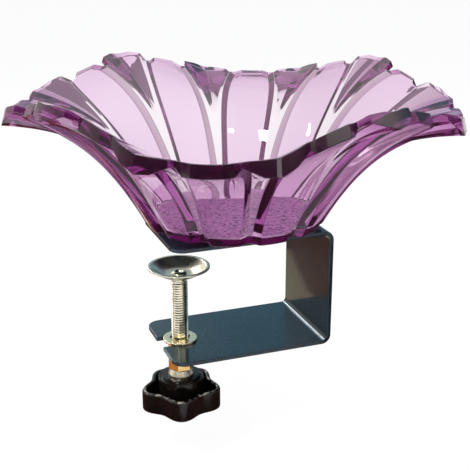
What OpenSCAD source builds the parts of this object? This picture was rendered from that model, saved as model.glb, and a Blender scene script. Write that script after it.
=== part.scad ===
// Railing bird bath: a flower bowl bonded to a C-shaped strap bracket that clamps on a rail.
// Origin: underside of the top plate, on the bowl's axis. +Z is up. The upright is at +X.

/* [Bowl] */
// Radius of the flat floor inside the bowl
floor_r = 46; // [40:1:52]
// Thickness of the floor
floor_t = 5; // [3:0.5:8]
// Mean radius of the broad petals' rim
rim_r = 115; // [90:1:140]
// Mean height of the broad petals' rim above the bowl's underside
rim_h = 71.5; // [55:0.5:90]
// How much further out the rim is on the four low sides than on average
rim_wave_r = 5; // [0:0.5:8]
// How much lower the rim is on the four low sides than on average
rim_wave_h = 8; // [0:0.5:10]
// How much longer the broad petals are on the four low sides
low_reach = 4; // [0:0.5:6]
// Angle of the wall above level at the floor
wall_start_slope = 58; // [45:1:70]
// Mean angle of the wall above level at the rim
wall_end_slope = 23; // [14:1:40]
// How much flatter the wall ends on the four low sides than on average
wall_slope_wave = 9; // [0:1:12]
// How strongly the wall's curve holds its angle at the floor
wall_start_pull = 38; // [30:1:46]
// How strongly the wall's curve holds its angle at the rim
wall_end_pull = 36; // [28:1:44]
// Wall thickness in the grooves between petals, at the floor and at the rim
wall_t = 2.9; // [2.5:0.1:5]
// How much thinner the wall is half-way up
wall_dip = 1.5; // [0:0.1:1.8]
// How far a broad petal's panel stands out of the grooves
panel_rise = 3.8; // [1:0.1:4.5]
// Width of the bevel along a panel's edge
panel_bevel = 3.7; // [1:0.1:4]
// Half of the angle that a panel takes at the floor
panel_low_half = 9.5; // [8:0.1:10]
// Half of the angle that a panel takes at the rim
panel_top_half = 5.4; // [4.5:0.1:6]
// How late a panel narrows on its way up: the higher, the nearer the rim
panel_taper = 3.4; // [2:0.1:4]
// Angle by which each side of a panel is cut in at the bowl's foot
foot_notch = 1; // [0:0.1:2]
// Half of the angle that a pointed petal takes at the rim
tip_half = 6.8; // [4:0.1:7]
// How far a pointed petal's sides stand out at its tip
edge_rise = 1.4; // [0:0.1:2]
// How far a pointed petal's keel stands out at its tip
keel_rise = 8.4; // [2:0.1:10]
// Depth of the crease inside a pointed petal at its tip
crease_depth = 2; // [0:0.1:3]
// How far a pointed petal reaches past the broad petals
tip_reach = 6; // [4:0.5:12]
// How far a pointed petal's corners are rounded back
tip_round = 2.5; // [0:0.1:4]
// How far a broad petal's corners are cut back
corner_cut = 3.5; // [0:0.1:6]
// How far the grooves between petals end below the broad petals' corners
groove_cut = 0.8; // [0:0.1:2]
// Turn of the bowl on its plate
bowl_turn = -26; // [-45:1:45]

/* [Bonding pad] */
// Diameter of the pad under the bowl
bond_d = 58; // [40:1:62]
// Thickness of the pad
bond_t = 4; // [2:0.5:6]

/* [Bracket] */
// Width of the strap
strap_w = 62; // [50:1:80]
// Thickness of the strap
strap_t = 2.5; // [2:0.1:4]
// Clear height between top plate and lower arm
throat_h = 65; // [58:1:90]
// Length of the top plate from the upright's inner face
plate_reach = 93; // [88:1:120]
// Length of the lower arm from the upright's inner face
arm_reach = 93; // [86:1:120]
// Inside radius of the two bends
bend_r = 3; // [1:0.5:6]
// Radius of the corners at the free ends
corner_r = 8; // [2:0.5:12]
// Distance from the upright's inner face to the bowl's axis
bowl_offset = 46.5; // [40:0.5:56]

/* [Clamp screw] */
// Distance from the lower arm's free end to the screw's axis
screw_inset = 12.5; // [12:0.5:16]
// Outside diameter of the thread
thread_d = 10; // [9:0.5:12]
// Radial clearance of the thread in its bush
thread_clear = 0.05; // [0.02:0.01:0.1]
// Chamfer at both ends of the thread
thread_chamfer = 1; // [0.5:0.1:1.4]
// How far the neck under the pad is cut in from the thread
neck_cut = 1.5; // [1.4:0.1:2]
// Length of the neck under the pad
neck_len = 2.6; // [1.5:0.1:5]
// Width of the shoulder that the pad rests on, round the spigot
shoulder = 0.7; // [0.5:0.1:1]
// How far the peened end stands out over the pad
head_lip = 1.7; // [1:0.1:2.5]
// Thickness of the peened end
head_t = 1.4; // [0.8:0.1:2]

/* [Thread bush] */
// How far the flange stands out past the barrel's corners
flange_lip = 2.5; // [1.5:0.1:4]
// Thickness of the flange
flange_t = 2; // [1:0.1:3]
// Length of the bush, flange included
bush_len = 20; // [14:0.5:26]
// Wall of the barrel outside the thread, at its flats
barrel_wall = 1.5; // [1.1:0.1:3]
// How far the socket's flats stand outside the thread
socket_gap = 0.6; // [0.3:0.1:0.8]
// Depth of the socket
socket_depth = 4; // [2:0.5:6]
// Gap between the barrel and the slot's sides
slot_clear = 0.1; // [0:0.05:0.3]

/* [Pressure pad] */
// Gap between the top plate and the pad with the screw run right up
pad_gap = 18.5; // [10:0.5:26]
// Diameter of the pad
pad_d = 36; // [30:1:44]
// Diameter of the pad's flat floor
pad_floor_d = 15; // [12:0.5:18]
// Depth of the pad's dish
pad_depth = 5; // [3.5:0.1:7]
// Sheet thickness of the pad
pad_t = 1.2; // [0.8:0.1:2]
// Width of the flat lip round the pad
pad_lip = 1.6; // [1:0.1:3]
// Clearance of the pad on its spigot, radially
spigot_clear = 0.08; // [0.02:0.01:0.1]
// Clearance of the pad between the neck and the peened end, at each face
pad_float = 0.2; // [0.1:0.05:0.3]

/* [Knob] */
// Diameter over the lobes
knob_d = 48; // [40:1:60]
// Number of lobes
knob_lobes = 5; // [3:1:8]
// Turn of the knob on its screw
knob_turn = 37.5; // [0:0.5:72]
// Depth of the hollows between lobes
lobe_depth = 4.8; // [1:0.1:6]
// Height of the lobed wall
knob_h = 13; // [10:0.5:20]
// Thickness of the lobed wall
knob_wall = 2.6; // [2:0.1:4]
// Thickness of the knob's floor
knob_floor = 3; // [2:0.1:5]
// Diameter of the hub
hub_d = 27; // [20:0.5:30]
// Width of the step round the hub's top
hub_step = 2; // [1:0.1:4]
// Height of the step round the hub's top
hub_drop = 1.2; // [0.5:0.1:3]
// How far the hub stands above the lobed wall
hub_rise = 7; // [2:0.5:10]
// Wall of the metal collar at its foot
collar_wall = 2.5; // [1.5:0.1:4]
// Wall of the metal collar at its top
collar_nose_wall = 1.2; // [0.6:0.1:1.4]
// Height of the collar's straight foot
collar_foot = 1; // [0.5:0.1:2]
// Height of the metal collar
collar_h = 4; // [3:0.5:8]
// Gap between collar and bush with the screw run right up
stop_gap = 0.3; // [0.3:0.1:2]
// Clearance of the screw in the knob and the collar
seat_clear = 0.02; // [0.01:0.01:0.05]

/* [Hidden] */
$fn = 96;
over = 1;

// Petals of each kind, rim waves, and rows of facets up the wall
petals = 12;
waves = 4;
rows = 13;
pitch = 360 / petals;

// Angle between the flats that make up the knob's lobes
lobe_step = 4;

// Heights
plate_top = strap_t;
bowl_base = plate_top + bond_t;
arm_top = -throat_h;
arm_base = arm_top - strap_t;
bush_top = arm_top + flange_t;
bush_base = bush_top - bush_len;
collar_top = bush_base - stop_gap;
hub_top = collar_top - collar_h;
knob_top = hub_top - hub_rise;
knob_base = knob_top - knob_h;
pad_top = -pad_gap;
pad_floor_top = pad_top - pad_depth;
pad_floor_base = pad_floor_top - pad_t;
neck_top = pad_floor_base - pad_float;
thread_top = neck_top - neck_len;
head_base = pad_floor_top + pad_float;

// Diameters and widths that follow from the thread
neck_d = thread_d - 2 * neck_cut;
spigot_d = neck_d - 2 * shoulder;
head_d = spigot_d + 2 * head_lip;
barrel_flats = thread_d + 2 * barrel_wall;
barrel_d = barrel_flats / cos(30);
flange_d = barrel_d + 2 * flange_lip;
socket_flats = thread_d + 2 * socket_gap;
collar_d = thread_d + 2 * collar_wall;
collar_nose_d = thread_d + 2 * collar_nose_wall;

// Places along the strap
upright_in = bowl_offset;
bend_x = upright_in - bend_r;
plate_end = upright_in - plate_reach;
arm_end = upright_in - arm_reach;
screw_x = arm_end + screw_inset;

// Bowl wall: a cubic curve in the radial plane from the floor's edge to the rim
function wave(a) = cos(waves * a);
function end_r(a) = rim_r + rim_wave_r * wave(a);
function end_h(a) = rim_h - rim_wave_h * wave(a);
function end_slope(a) = wall_end_slope - wall_slope_wave * wave(a);
function wall_knots(a) = [
    [floor_r, floor_t],
    [floor_r + wall_start_pull * cos(wall_start_slope), floor_t + wall_start_pull * sin(wall_start_slope)],
    [end_r(a) - wall_end_pull * cos(end_slope(a)), end_h(a) - wall_end_pull * sin(end_slope(a))],
    [end_r(a), end_h(a)]];
function curve(p, u) = pow(1 - u, 3) * p[0] + 3 * u * pow(1 - u, 2) * p[1]
                       + 3 * u * u * (1 - u) * p[2] + pow(u, 3) * p[3];
function curve_way(p, u) = pow(1 - u, 2) * (p[1] - p[0]) + 2 * u * (1 - u) * (p[2] - p[1])
                           + u * u * (p[3] - p[2]);
function outward(p, u) = let (d = curve_way(p, u)) [d[1], -d[0]] / norm(d);

// Half angles of one petal pair at share v of the way from the floor to the rim
apex = 0.5;
strip = 0.9;
groove_least = 0.2;
function point(v) = max(0, (v - apex) / (1 - apex));
function tip_edge(v) = pitch / 2 - strip - (tip_half - strip) * point(v);
function panel_half(v) = panel_low_half - (v == 0 ? foot_notch : 0)
                         - (panel_low_half - panel_top_half) * pow(v, panel_taper);
function bevel_angle(v) = panel_bevel / (floor_r + (rim_r - floor_r) * v) * 180 / PI;
function bevel_half(v) = min(panel_half(v) + bevel_angle(v), tip_edge(v) - groove_least);
function tip_mid(v) = (tip_edge(v) + pitch / 2) / 2;

// Each column: its angle, how far its end reaches past the rim curve, and its relief outside and inside
facet_share = 0.62;
keel_share = 0.68;
function column(k, v, low) =
    k == 0 ? [0, low, panel_rise, 0]
    : k == 1 ? [facet_share * panel_half(v), low, panel_rise, 0]
    : k == 2 ? [panel_half(v), low - corner_cut, panel_rise, 0]
    : k == 3 ? [bevel_half(v), low - corner_cut - groove_cut, 0, 0]
    : k == 4 ? [tip_edge(v), tip_reach - tip_round, edge_rise * point(v), 0]
    : k == 5 ? [tip_mid(v), tip_reach, (keel_share * keel_rise + (1 - keel_share) * edge_rise) * point(v),
                crease_depth / 2 * point(v)]
    : [pitch / 2, tip_reach, keel_rise * point(v), crease_depth * point(v)];
order = [6, -5, -4, -3, -2, -1, 0, 1, 2, 3, 4, 5];
columns = petals * len(order);
function column_at(j, v) =
    let (petal = floor(j / len(order)), k = order[j % len(order)],
         low = low_reach * max(0, wave(petal * pitch)), c = column(abs(k), v, low),
         side = k == 6 ? -1 : sign(k))
    [petal * pitch + side * c[0], c[1], c[2], c[3]];
function turned(rz, a) = [rz[0] * cos(a), rz[0] * sin(a), rz[1]];
function wall_point(j, i, outside) =
    let (v = i / rows, c = column_at(j, v), p = wall_knots(c[0]), u = v * (1 + c[1] / (3 * wall_end_pull)),
         depth = outside ? wall_t - 4 * wall_dip * v * (1 - v) + c[2] : c[3])
    turned(curve(p, u) + depth * outward(p, u), c[0]);
function foot_point(j) =
    let (c = column_at(j, 0), p = wall_knots(c[0]), d = curve_way(p, 0),
         q = p[0] + (wall_t + c[2]) * outward(p, 0))
    turned([q[0] - q[1] * d[0] / d[1], 0], c[0]);

module bowl() {
    m = columns;
    inside = [for (i = [0:rows]) for (j = [0:m - 1]) wall_point(j, i, false)];
    outside = [for (i = [0:rows]) for (j = [0:m - 1]) wall_point(j, i, true)];
    foot = [for (j = [0:m - 1]) foot_point(j)];
    first_out = (rows + 1) * m;
    first_foot = 2 * first_out;
    floor_mid = first_foot + m;
    base_mid = floor_mid + 1;
    function next(j) = (j + 1) % m;
    faces = concat(
        [for (i = [0:rows - 1]) for (j = [0:m - 1]) each
            [[i * m + j, (i + 1) * m + j, (i + 1) * m + next(j)],
             [i * m + j, (i + 1) * m + next(j), i * m + next(j)]]],
        [for (i = [0:rows - 1]) for (j = [0:m - 1]) each
            [[first_out + i * m + j, first_out + (i + 1) * m + next(j), first_out + (i + 1) * m + j],
             [first_out + i * m + j, first_out + i * m + next(j), first_out + (i + 1) * m + next(j)]]],
        [for (j = [0:m - 1]) each
            [[rows * m + j, first_out + rows * m + j, first_out + rows * m + next(j)],
             [rows * m + j, first_out + rows * m + next(j), rows * m + next(j)],
             [first_foot + j, first_out + next(j), first_out + j],
             [first_foot + j, first_foot + next(j), first_out + next(j)],
             [floor_mid, j, next(j)],
             [base_mid, first_foot + next(j), first_foot + j]]]);
    color([0.62, 0.36, 0.62, 0.6])
        translate([0, 0, bowl_base])
            rotate(bowl_turn)
                polyhedron(concat(inside, outside, foot, [[0, 0, floor_t], [0, 0, 0]]), faces);
}

module bonding_pad() {
    color([0.12, 0.12, 0.13])
        translate([0, 0, plate_top])
            cylinder(d = bond_d, h = bond_t);
}

module bend(z, turn) {
    translate([bend_x, strap_w / 2, z])
        rotate([90, 0, 0])
            rotate(turn)
                rotate_extrude(angle = 90)
                    translate([bend_r, 0])
                        square([strap_t, strap_w]);
}

module strap() {
    translate([plate_end, -strap_w / 2, 0])
        cube([bend_x - plate_end, strap_w, strap_t]);
    bend(-bend_r, 0);
    translate([upright_in, -strap_w / 2, arm_top + bend_r])
        cube([strap_t, strap_w, throat_h - 2 * bend_r]);
    bend(arm_top + bend_r, -90);
    translate([arm_end, -strap_w / 2, arm_base])
        cube([bend_x - arm_end, strap_w, strap_t]);
}

module corner_cuts(end, z) {
    for (side = [-1, 1])
        translate([end, side * strap_w / 2, z - over])
            difference() {
                translate([-over, side > 0 ? -corner_r : -over, 0])
                    cube([corner_r + over, corner_r + over, strap_t + 2 * over]);
                translate([corner_r, -side * corner_r, -over])
                    cylinder(r = corner_r, h = strap_t + 4 * over);
            }
}

module slot() {
    half = barrel_flats / 2 + slot_clear;
    corner = half / cos(30);
    translate([0, 0, arm_base - over])
        linear_extrude(strap_t + 2 * over)
            polygon([
                [arm_end - over, -half], [screw_x + corner / 2, -half], [screw_x + corner, 0],
                [screw_x + corner / 2, half], [arm_end - over, half]]);
}

module bracket() {
    color([0.13, 0.2, 0.25])
        difference() {
            strap();
            corner_cuts(plate_end, 0);
            corner_cuts(arm_end, arm_base);
            slot();
        }
}

module hexagon(flats, h) {
    cylinder(d = flats / cos(30), h = h, $fn = 6);
}

module thread_bush() {
    color([0.72, 0.53, 0.22])
        translate([screw_x, 0, 0])
            difference() {
                union() {
                    translate([0, 0, arm_top])
                        cylinder(d = flange_d, h = flange_t);
                    translate([0, 0, bush_base])
                        hexagon(barrel_flats, bush_len - flange_t);
                }
                translate([0, 0, bush_base - over])
                    cylinder(r = thread_d / 2 + thread_clear, h = bush_len + 2 * over);
                translate([0, 0, bush_top - socket_depth])
                    hexagon(socket_flats, socket_depth + over);
            }
}

module clamp_screw() {
    screw_base = knob_base + knob_floor;
    thread_r = thread_d / 2;
    end_r = thread_r - thread_chamfer;
    head_r = head_d / 2;
    color([0.78, 0.78, 0.76])
        translate([screw_x, 0, 0])
            rotate_extrude()
                polygon([
                    [0, screw_base], [end_r, screw_base], [thread_r, screw_base + thread_chamfer],
                    [thread_r, thread_top - thread_chamfer], [end_r, thread_top],
                    [neck_d / 2, thread_top], [neck_d / 2, neck_top], [spigot_d / 2, neck_top],
                    [spigot_d / 2, head_base], [head_r, head_base],
                    [head_r - head_t, head_base + head_t], [0, head_base + head_t]]);
}

module pressure_pad() {
    hole_r = spigot_d / 2 + spigot_clear;
    floor_half = pad_floor_d / 2;
    pad_r = pad_d / 2;
    color([0.8, 0.8, 0.78])
        translate([screw_x, 0, 0])
            rotate_extrude()
                polygon([
                    [hole_r, pad_floor_base], [floor_half, pad_floor_base],
                    [pad_r - pad_lip, pad_top - pad_t], [pad_r, pad_top - pad_t],
                    [pad_r, pad_top], [pad_r - pad_lip, pad_top],
                    [floor_half, pad_floor_top], [hole_r, pad_floor_top]]);
}

function lobe_r(a, inset) = (knob_d - lobe_depth + lobe_depth * cos(knob_lobes * a)) / 2 - inset;

module lobed(inset) {
    polygon([for (a = [0:lobe_step:360 - lobe_step]) lobe_r(a, inset) * [cos(a), sin(a)]]);
}

module knob() {
    color([0.07, 0.06, 0.055])
        translate([screw_x, 0, 0])
            rotate(knob_turn)
                difference() {
                    union() {
                        difference() {
                            translate([0, 0, knob_base])
                                linear_extrude(knob_h)
                                    lobed(0);
                            translate([0, 0, knob_base + knob_floor])
                                linear_extrude(knob_h)
                                    lobed(knob_wall);
                        }
                        translate([0, 0, knob_base + knob_floor / 2])
                            cylinder(d = hub_d, h = hub_top - hub_drop - knob_base - knob_floor / 2);
                        translate([0, 0, knob_base + knob_floor / 2])
                            cylinder(d = hub_d - 2 * hub_step, h = hub_top - knob_base - knob_floor / 2);
                    }
                    translate([0, 0, knob_base + knob_floor])
                        cylinder(r = thread_d / 2 + seat_clear, h = knob_h + hub_rise + over);
                }
}

module knob_collar() {
    bore_r = thread_d / 2 + seat_clear;
    color([0.75, 0.75, 0.74])
        translate([screw_x, 0, hub_top])
            rotate_extrude()
                polygon([
                    [bore_r, 0], [collar_d / 2, 0], [collar_d / 2, collar_foot],
                    [collar_nose_d / 2, collar_h], [bore_r, collar_h]]);
}

bowl();
bonding_pad();
bracket();
thread_bush();
clamp_screw();
pressure_pad();
knob();
knob_collar();
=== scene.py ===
import math

import bpy
import numpy as np
from mathutils import Euler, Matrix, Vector


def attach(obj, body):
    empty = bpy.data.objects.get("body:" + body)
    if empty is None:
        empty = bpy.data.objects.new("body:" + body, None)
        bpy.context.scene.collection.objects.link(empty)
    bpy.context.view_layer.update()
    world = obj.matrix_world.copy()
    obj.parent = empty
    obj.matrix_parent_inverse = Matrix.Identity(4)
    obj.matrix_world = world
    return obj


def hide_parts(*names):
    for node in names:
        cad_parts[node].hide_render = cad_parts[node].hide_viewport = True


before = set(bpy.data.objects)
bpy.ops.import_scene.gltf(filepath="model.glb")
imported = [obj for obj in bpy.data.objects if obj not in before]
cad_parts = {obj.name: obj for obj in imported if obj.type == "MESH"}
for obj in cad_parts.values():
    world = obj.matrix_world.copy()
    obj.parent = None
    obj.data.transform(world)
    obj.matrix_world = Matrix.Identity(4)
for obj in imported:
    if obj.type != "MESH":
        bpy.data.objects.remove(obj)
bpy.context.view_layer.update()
bpy.ops.object.select_all(action="DESELECT")
bpy.context.scene.view_settings.view_transform = "Standard"
mm = 0.001
print("frame loaded:", ", ".join(sorted(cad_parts)))


# helpers for nodes, modifiers and turned shapes

def hexColour(code):  # an sRGB hex value as the linear colour that a node takes
    parts = [int(code[i:i + 2], 16) / 255 for i in (1, 3, 5)]
    return tuple(c / 12.92 if c <= 0.04045 else ((c + 0.055) / 1.055) ** 2.4 for c in parts) + (1.0,)


def scaleFor(size):  # noise scale for grains of this size in mm
    return 1 / (size * mm)


def ringScaleFor(spacing):  # wave scale for rings this far apart in mm; scale 1 is 20 radians a metre
    return math.pi / 10 / (spacing * mm)


def addNode(tree, kind, settings=None, inputs=None, stops=None):
    node = tree.nodes.new("ShaderNode" + kind)
    for name, value in (settings or {}).items():
        setattr(node, name, value)
    for name, value in (inputs or {}).items():
        if isinstance(value, bpy.types.NodeSocket):
            tree.links.new(value, node.inputs[name])
        else:
            node.inputs[name].default_value = value
    for i, (place, colour) in enumerate(stops or []):
        mark = node.color_ramp.elements[i] if i < 2 else node.color_ramp.elements.new(place)
        mark.position = place
        mark.color = hexColour(colour)
    return node


def newMaterial(name):
    material = bpy.data.materials.new(name)
    material.use_nodes = True
    material.node_tree.nodes.clear()
    return material, material.node_tree


def takePiece(piece):  # make it the only one selected
    bpy.ops.object.select_all(action="DESELECT")
    piece.select_set(True)
    bpy.context.view_layer.objects.active = piece


def joinPieces(piece, other):
    takePiece(piece)
    other.select_set(True)
    bpy.ops.object.join()


def applyModifier(piece, kind, settings):
    takePiece(piece)
    modifier = piece.modifiers.new(kind.lower(), kind)
    for name, value in settings.items():
        setattr(modifier, name, value)
    bpy.ops.object.modifier_apply(modifier=modifier.name)


def roundEdges(piece, width, segments=3, angle=30):
    applyModifier(piece, "BEVEL", {
        "width": width * mm, "segments": segments, "limit_method": "ANGLE",
        "angle_limit": math.radians(angle), "use_clamp_overlap": True})


def placeMesh(piece, offset):
    takePiece(piece)
    bpy.ops.object.mode_set(mode="EDIT")
    bpy.ops.mesh.select_all(action="SELECT")
    bpy.ops.transform.translate(value=[x * mm for x in offset])
    bpy.ops.object.mode_set(mode="OBJECT")


def closeMesh(threshold):  # in edit mode: merge doubles and turn the faces outwards
    bpy.ops.mesh.select_all(action="SELECT")
    bpy.ops.mesh.remove_doubles(threshold=threshold)
    bpy.ops.mesh.normals_make_consistent(inside=False)


def startOutline(name):  # a new piece of one point at the origin, left in edit mode
    bpy.ops.object.select_all(action="DESELECT")
    bpy.ops.mesh.primitive_plane_add(size=mm)
    piece = bpy.context.object
    piece.name = name
    bpy.ops.object.mode_set(mode="EDIT")
    bpy.ops.mesh.select_all(action="SELECT")
    bpy.ops.mesh.merge(type="CENTER")
    return piece


def turnProfile(name, points, steps=96, closed=True):  # points in mm from the axis, turned round Z
    piece = startOutline(name)
    route = [Vector((x * mm, 0, z * mm)) for x, z in points]
    bpy.ops.transform.translate(value=route[0])
    for start, end in zip(route, route[1:] + route[:closed]):
        bpy.ops.mesh.extrude_vertices_move(TRANSFORM_OT_translate={"value": end - start})
    bpy.ops.mesh.select_all(action="SELECT")
    bpy.ops.mesh.remove_doubles(threshold=mm / 1000)
    bpy.ops.mesh.select_all(action="SELECT")
    bpy.ops.mesh.spin(steps=steps, angle=2 * math.pi, center=(0, 0, 0), axis=(0, 0, 1))
    closeMesh(mm / 1000)
    bpy.ops.object.mode_set(mode="OBJECT")
    return piece


def finishPiece(piece, material, body, node, smoothAngle=40):
    takePiece(piece)
    bpy.ops.object.shade_smooth_by_angle(angle=math.radians(smoothAngle))
    applyModifier(piece, "WEIGHTED_NORMAL", {"keep_sharp": True})  # flat faces stay flat beside rounded edges
    piece.data.materials.clear()
    piece.data.materials.append(material)
    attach(piece, body)
    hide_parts(node)
    piece.select_set(False)
    print("made", piece.name, "with", len(piece.data.polygons), "faces")


# camera, from the sizes and vanishing lines in the photograph
view = {"place": (-0.1819, -0.4878, 0.1771), "down": 19.2, "turn": -20.5, "lens": 72.77, "sensor": 36,
        "near": 0.01, "far": 50}

aim = Euler((math.radians(90 - view["down"]), 0, math.radians(view["turn"])))
bpy.ops.object.camera_add(location=view["place"], rotation=aim)
camera = bpy.context.object
camera.data.sensor_width = view["sensor"]
camera.data.lens = view["lens"]
camera.data.clip_start, camera.data.clip_end = view["near"], view["far"]
bpy.context.scene.camera = camera
print("camera set")


# clear amethyst acrylic, injection moulded: polished faces, colour that deepens with the light's path,
# and a mottled, stippled floor inside the bowl
acrylicLook = {"ior": 1.49, "polish": 0.015, "tint": "#D000CA", "tintPerMetre": 70, "haze": "#8E4A76",
               "hazeShare": 0.045, "stipplePale": "#B586B2", "stippleDeep": "#2C1636", "stippleRough": 0.5,
               "stippleGrain": 2.0, "stippleDepth": 0.2, "stippleClear": 0.45,
               "stippleEdge": (43.5, 44.5), "stippleFloor": (10.5, 11.3)}

acrylic, tree = newMaterial("mouldedAmethystAcrylic")
place = addNode(tree, "TexCoord")
height = addNode(tree, "SeparateXYZ", inputs={"Vector": place.outputs["Object"]})
flattened = addNode(tree, "VectorMath", {"operation": "MULTIPLY"}, {0: place.outputs["Object"], 1: (1, 1, 0)})
fromAxis = addNode(tree, "VectorMath", {"operation": "LENGTH"}, {0: flattened.outputs["Vector"]})
onDisc = addNode(tree, "MapRange", inputs={
    "Value": fromAxis.outputs["Value"], "From Min": acrylicLook["stippleEdge"][0] * mm,
    "From Max": acrylicLook["stippleEdge"][1] * mm, "To Min": 1.0, "To Max": 0.0})
gripFace = addNode(tree, "MapRange", inputs={  # 1 on the stippled floor inside the bowl, 0 on the polished faces
    "Value": height.outputs["Z"], "From Min": acrylicLook["stippleFloor"][0] * mm,
    "From Max": acrylicLook["stippleFloor"][1] * mm, "To Min": 0.0, "To Max": onDisc.outputs["Result"]})
grain = addNode(tree, "TexNoise", inputs={
    "Vector": place.outputs["Object"], "Scale": scaleFor(acrylicLook["stippleGrain"]), "Detail": 3.0,
    "Roughness": 0.65})
mottle = addNode(tree, "ValToRGB", inputs={"Fac": grain.outputs["Fac"]},
                 stops=[(0.38, acrylicLook["stippleDeep"]), (0.54, acrylicLook["stipplePale"])])
tone = addNode(tree, "Mix", {"data_type": "RGBA"}, {
    0: gripFace.outputs["Result"], 6: hexColour("#FFFFFF"), 7: mottle.outputs["Color"]})
rough = addNode(tree, "MapRange", inputs={
    "Value": gripFace.outputs["Result"], "To Min": acrylicLook["polish"], "To Max": acrylicLook["stippleRough"]})
clear = addNode(tree, "MapRange", inputs={
    "Value": gripFace.outputs["Result"], "To Min": 1.0, "To Max": acrylicLook["stippleClear"]})
dents = addNode(tree, "Bump", inputs={
    "Height": grain.outputs["Fac"], "Strength": gripFace.outputs["Result"],
    "Distance": acrylicLook["stippleDepth"] * mm})
body = addNode(tree, "BsdfPrincipled", inputs={
    "Base Color": tone.outputs[2], "Roughness": rough.outputs["Result"], "IOR": acrylicLook["ior"],
    "Transmission Weight": clear.outputs["Result"], "Normal": dents.outputs["Normal"]})
dye = addNode(tree, "VolumeAbsorption", inputs={
    "Color": hexColour(acrylicLook["tint"]), "Density": acrylicLook["tintPerMetre"]})
haze = addNode(tree, "BsdfDiffuse", inputs={"Color": hexColour(acrylicLook["haze"])})  # light scattered by the dye
cloudy = addNode(tree, "MixShader", inputs={
    0: acrylicLook["hazeShare"], 1: body.outputs["BSDF"], 2: haze.outputs["BSDF"]})
addNode(tree, "OutputMaterial", inputs={"Surface": cloudy.outputs["Shader"], "Volume": dye.outputs["Volume"]})


# flower bowl: twelve broad petals with raised panels, twelve keeled points between them. Sizes in mm and degrees
bowlShape = {"base": 6.5, "turn": -26, "petals": 12, "waves": 4,
             "floorRadius": 46, "floorThick": 5, "rimRadius": 115, "rimHeight": 71.5, "rimWaveRadius": 5,
             "rimWaveHeight": 8, "lowReach": 4, "startSlope": 58, "endSlope": 23, "slopeWave": 9,
             "startPull": 38, "endPull": 36, "wall": 2.9, "wallDip": 1.5, "panelRise": 3.8, "panelBevel": 3.7,
             "panelLowHalf": 9.5, "panelTopHalf": 5.4, "panelTaper": 3.4, "footNotch": 1, "notchEnd": 0.08,
             "tipHalf": 6.8, "edgeRise": 1.4, "keelRise": 8.4, "keelShare": 0.68, "creaseDepth": 2,
             "tipReach": 6, "tipRound": 2.5, "cornerCut": 3.5, "grooveCut": 0.8, "grooveLeast": 0.2,
             "apex": 0.5, "strip": 0.9, "facetShare": 0.62, "wallRows": 21,
             "ridgeRound": 0.25, "roundLimit": 0.35, "rimRound": 0.5, "footRound": 0.9, "floorFillet": 1.7}


def wallCurve(angle, u):  # the wall's middle curve: radius, height, and its direction
    s = bowlShape
    wave = np.cos(np.radians(s["waves"] * angle))
    endSlope = np.radians(s["endSlope"] - s["slopeWave"] * wave)
    startSlope = math.radians(s["startSlope"])
    endRadius = s["rimRadius"] + s["rimWaveRadius"] * wave
    endHeight = s["rimHeight"] - s["rimWaveHeight"] * wave
    knots = [(s["floorRadius"] + 0 * wave, s["floorThick"] + 0 * wave),
             (s["floorRadius"] + s["startPull"] * math.cos(startSlope) + 0 * wave,
              s["floorThick"] + s["startPull"] * math.sin(startSlope) + 0 * wave),
             (endRadius - s["endPull"] * np.cos(endSlope), endHeight - s["endPull"] * np.sin(endSlope)),
             (endRadius, endHeight)]
    place = [(1 - u) ** 3 * a + 3 * u * (1 - u) ** 2 * b + 3 * u * u * (1 - u) * c + u ** 3 * d
             for a, b, c, d in zip(*knots)]
    way = [(1 - u) ** 2 * (b - a) + 2 * u * (1 - u) * (c - b) + u * u * (d - c) for a, b, c, d in zip(*knots)]
    size = np.hypot(*way)
    return place, (way[0] / size, way[1] / size)


def petalStations(v, low):  # angle, reach, outside and inside relief across half a petal pair, at rows v
    s = bowlShape
    half = 180 / s["petals"]
    radius = s["floorRadius"] + (s["rimRadius"] - s["floorRadius"]) * v
    panel = (s["panelLowHalf"] - s["footNotch"] * np.clip(1 - v / s["notchEnd"], 0, 1)
             - (s["panelLowHalf"] - s["panelTopHalf"]) * v ** s["panelTaper"])
    point = np.clip((v - s["apex"]) / (1 - s["apex"]), 0, None)
    edge = half - s["strip"] - (s["tipHalf"] - s["strip"]) * point
    bevel = np.minimum(panel + np.degrees(s["panelBevel"] / radius), edge - s["grooveLeast"])
    flankRise = s["keelShare"] * s["keelRise"] + (1 - s["keelShare"]) * s["edgeRise"]
    one = np.ones_like(v)
    columns = np.array([
        [0 * one, low * one, s["panelRise"] * one, 0 * one],
        [s["facetShare"] * panel, low * one, s["panelRise"] * one, 0 * one],
        [panel, (low - s["cornerCut"]) * one, s["panelRise"] * one, 0 * one],
        [bevel, (low - s["cornerCut"] - s["grooveCut"]) * one, 0 * one, 0 * one],
        [edge, (s["tipReach"] - s["tipRound"]) * one, s["edgeRise"] * point, 0 * one],
        [(edge + half) / 2, s["tipReach"] * one, flankRise * point, s["creaseDepth"] / 2 * point],
        [half * one, s["tipReach"] * one, s["keelRise"] * point, s["creaseDepth"] * point]])
    gaps = np.radians(columns[1:, 0] - columns[:-1, 0]) * radius

    def toward(k, other):  # the start of the round at column k, on its side to the other column
        share = np.minimum(s["roundLimit"], s["ridgeRound"] / gaps[min(k, other)])
        return columns[k] + share * (columns[other] - columns[k])

    rows = [columns[0], (columns[0] + columns[1]) / 2]
    for k in (1, 2, 3, 4):  # a small round at each ridge and valley
        before, after = toward(k, k - 1), toward(k, k + 1)
        rows += [before, columns[k] / 2 + before / 4 + after / 4, after]
        if k in (1, 3):
            rows.append((columns[k] + columns[k + 1]) / 2)
    before = toward(6, 5)
    keel = columns[6] / 2 + before / 2
    keel[0] = half
    return np.array(rows + [columns[5], before, keel])


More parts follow.
